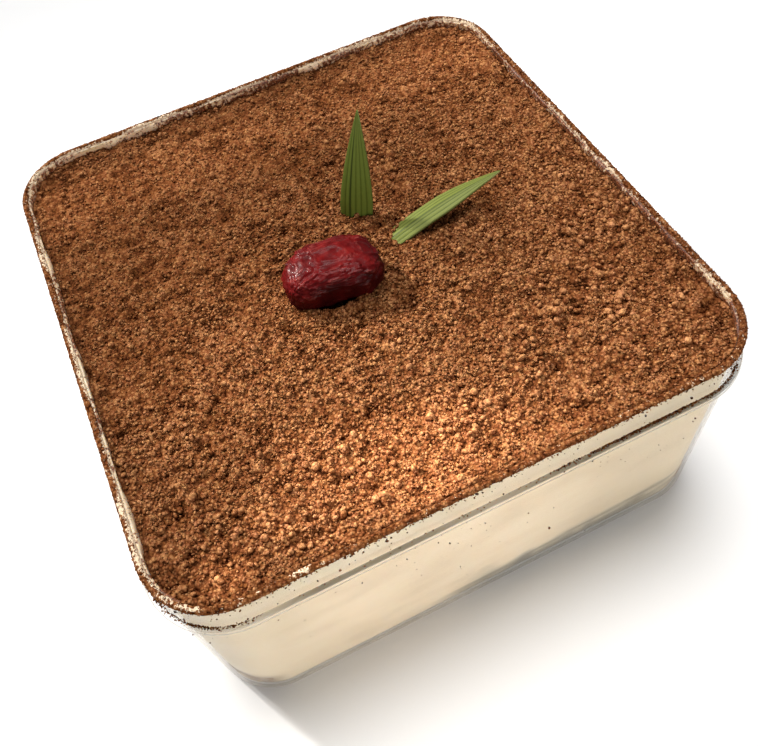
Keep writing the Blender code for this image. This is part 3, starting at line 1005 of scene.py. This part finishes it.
def make_leaf(name, node, at, turn, look, veins, **shape):
    """One blade with two faces and a rim between them, stuck into the bed at the plan point at."""
    grid, u, v = blade_points(veins=veins, **shape)
    rows, columns = u.shape
    front = grid.reshape(-1, 3)
    back = front + (0.0, LEAF_THICK, 0.0)
    sheet = grid_faces(rows, columns, False)
    faces = np.concatenate([sheet, sheet[:, ::-1] + len(front)])
    points = np.concatenate([front, back])
    edge = np.concatenate([
        np.arange(columns), np.arange(1, rows) * columns + columns - 1,
        np.arange(columns - 2, -1, -1) + (rows - 1) * columns, np.arange(rows - 2, 0, -1) * columns,
    ])
    after = np.roll(edge, -1)
    side = np.column_stack([edge, edge + len(front), after + len(front), after])
    faces = np.concatenate([faces, side])
    vein = np.abs(np.sin(np.pi * veins * (v + 1.0) / 2.0)) ** 0.7
    # Painted shade in the fold.
    crease_shade = ramp(np.abs(v - shape["fold_at"]), 0.09, 0.02) * shape["fold_rise"] * 2.2
    # Painted light along the edge, most towards the tip, where light shows through the blade.
    rim = ramp(np.abs(v), 0.90, 0.99) * (0.25 + 0.75 * ramp(u, 0.80, 0.97))
    values = {"vein": vein, "crease_shade": np.clip(crease_shade, 0, 1), "rim": rim}
    values = {key: np.tile(value.ravel(), 2) for key, value in values.items()}
    leaf = add_piece(name, points, faces, look, values)
    height = float(surface(np.array([at]))[0][0])
    leaf.data.transform(Matrix.Translation((*at, height)) @ Euler(turn).to_matrix().to_4x4())
    leaf.data.update()
    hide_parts(node)


def make_leaves():
    """The two blades: one upright and dark, its colours holding painted shade, and one leaning low and light,
    its colours holding painted light.
    """
    upright = leaf_look("leaf_in_painted_shade", (0.068, 0.098, 0.010), (0.125, 0.170, 0.024), (0.16, 0.22, 0.05))
    leaning = leaf_look("leaf_in_painted_light", (0.072, 0.100, 0.010), (0.165, 0.190, 0.034), (0.32, 0.34, 0.13))
    make_leaf(
        "blade_upright", "leaf_upright", (5.3 * MM, 7.2 * MM), np.radians((-4.5, 4.8, -37.0)), upright, 6,
        length=21.5 * MM, half_width=2.9 * MM, taper_from=0.15,
        fold_at=-0.35, fold_rise=0.35, droop=1.0 * MM,
    )
    make_leaf(
        "blade_leaning", "leaf_leaning", (9.6 * MM, -1.0 * MM), np.radians((-68.0, 0.0, -88.0)), leaning, 6,
        length=21.1 * MM, half_width=2.1 * MM, taper_from=0.45,
        fold_at=0.1, fold_rise=0.30, droop=3.5 * MM,
    )


# ---------------------------------------------------------------- stage


def make_floor():
    """A wide pale floor, a hair below the tub."""
    look = Look("floor", Roughness=0.7, Specular_IOR_Level=0.2)
    look.put("Base Color", look.ramp(look.noise(0.25), [(0.3, 0.93), (0.7, 0.96)]))
    mesh = bpy.data.meshes.new("floor")
    reach = 4.0
    corners = [(-reach, -reach, 0), (reach, -reach, 0), (reach, reach, 0), (-reach, reach, 0)]
    mesh.from_pydata(corners, [], [(0, 1, 2, 3)])
    mesh.materials.append(look.material)
    floor = bpy.data.objects.new("floor", mesh)
    floor.location.z = -0.02 * MM
    bpy.context.scene.collection.objects.link(floor)


def make_world():
    """A pale studio all round, lighter towards the horizon."""
    world = bpy.data.worlds.new("studio")
    world.use_nodes = True
    nodes, links = world.node_tree.nodes, world.node_tree.links
    around = nodes.new("ShaderNodeTexCoord")
    split = nodes.new("ShaderNodeSeparateXYZ")
    fade = nodes.new("ShaderNodeValToRGB")
    links.new(around.outputs["Generated"], split.inputs["Vector"])
    links.new(split.outputs["Z"], fade.inputs["Fac"])
    links.new(fade.outputs["Color"], nodes["Background"].inputs["Color"])
    fade.color_ramp.elements.new(0.35)
    for element, level in zip(fade.color_ramp.elements, (0.70, 0.28, 0.12)):
        element.color = (level, level, level, 1.0)
    bpy.context.scene.world = world


def lamp(name, kind, source, aim, power, colour):
    """A lamp at source that points at aim. Returns its data for further settings."""
    data = bpy.data.lights.new(name, kind)
    data.energy = power
    data.color = colour
    made = bpy.data.objects.new(name, data)
    made.location = source
    made.rotation_euler = (Vector(aim) - Vector(source)).to_track_quat("-Z", "Y").to_euler()
    bpy.context.scene.collection.objects.link(made)
    return data


def spot_light(name, source, aim, cone, power, colour):
    """A spot with a soft edge and a small bulb."""
    data = lamp(name, "SPOT", source, aim, power, colour)
    data.spot_size = math.radians(cone)
    data.spot_blend = 1.0
    data.shadow_soft_size = 0.02


def make_lights():
    """A broad soft sun overhead, two spots from the back left, and a weak fill in front."""
    overhead = lamp("overhead", "SUN", (0.05, 0.24, 1.0), (0.0, 0.0, 0.0), 2.60, (1.0, 0.995, 0.99))
    overhead.angle = math.radians(27.0)
    spot_light("key", (-0.31, 0.46, 0.46), (0.018, -0.006, 0.045), 32.0, 17.5, (1.0, 0.97, 0.93))
    spot_light("patch", (-0.16, 0.20, 0.28), (-0.004, -0.042, 0.045), 12.0, 11.0, (1.0, 0.96, 0.90))
    fill = lamp("fill", "AREA", (0.06, -0.84, 0.24), (0.0, 0.0, 0.02), 2.4, (1.0, 0.98, 0.95))
    fill.shape = "DISK"
    fill.size = 0.40


def make_camera():
    """The camera, rolled about its own axis."""
    data = bpy.data.cameras.new("camera")
    data.sensor_width = 36.0
    data.lens = LENS
    data.shift_x, data.shift_y = CAMERA_SHIFT
    data.clip_start = 0.005
    camera = bpy.data.objects.new("camera", data)
    camera.location = CAMERA_AT
    gaze = (CAMERA_AIM - CAMERA_AT).to_track_quat("-Z", "Y").to_matrix()
    camera.rotation_euler = (gaze @ Matrix.Rotation(CAMERA_ROLL, 3, "Z")).to_euler()
    bpy.context.scene.collection.objects.link(camera)
    bpy.context.scene.camera = camera


def main():
    bpy.context.scene.view_settings.view_transform = "Standard"
    make_camera()
    make_floor()
    make_world()
    make_lights()
    cocoa = cocoa_look("cocoa")
    make_tub()
    make_cream(cream_look())
    make_sponge()
    make_bed(cocoa)
    make_grains(cocoa)
    make_rim_crust(cocoa_look("rim_cocoa", creamy=True))
    make_rim_grains(cocoa)
    make_ledge_dust(cocoa)
    make_specks(cocoa)
    make_fruit()
    make_leaves()


main()
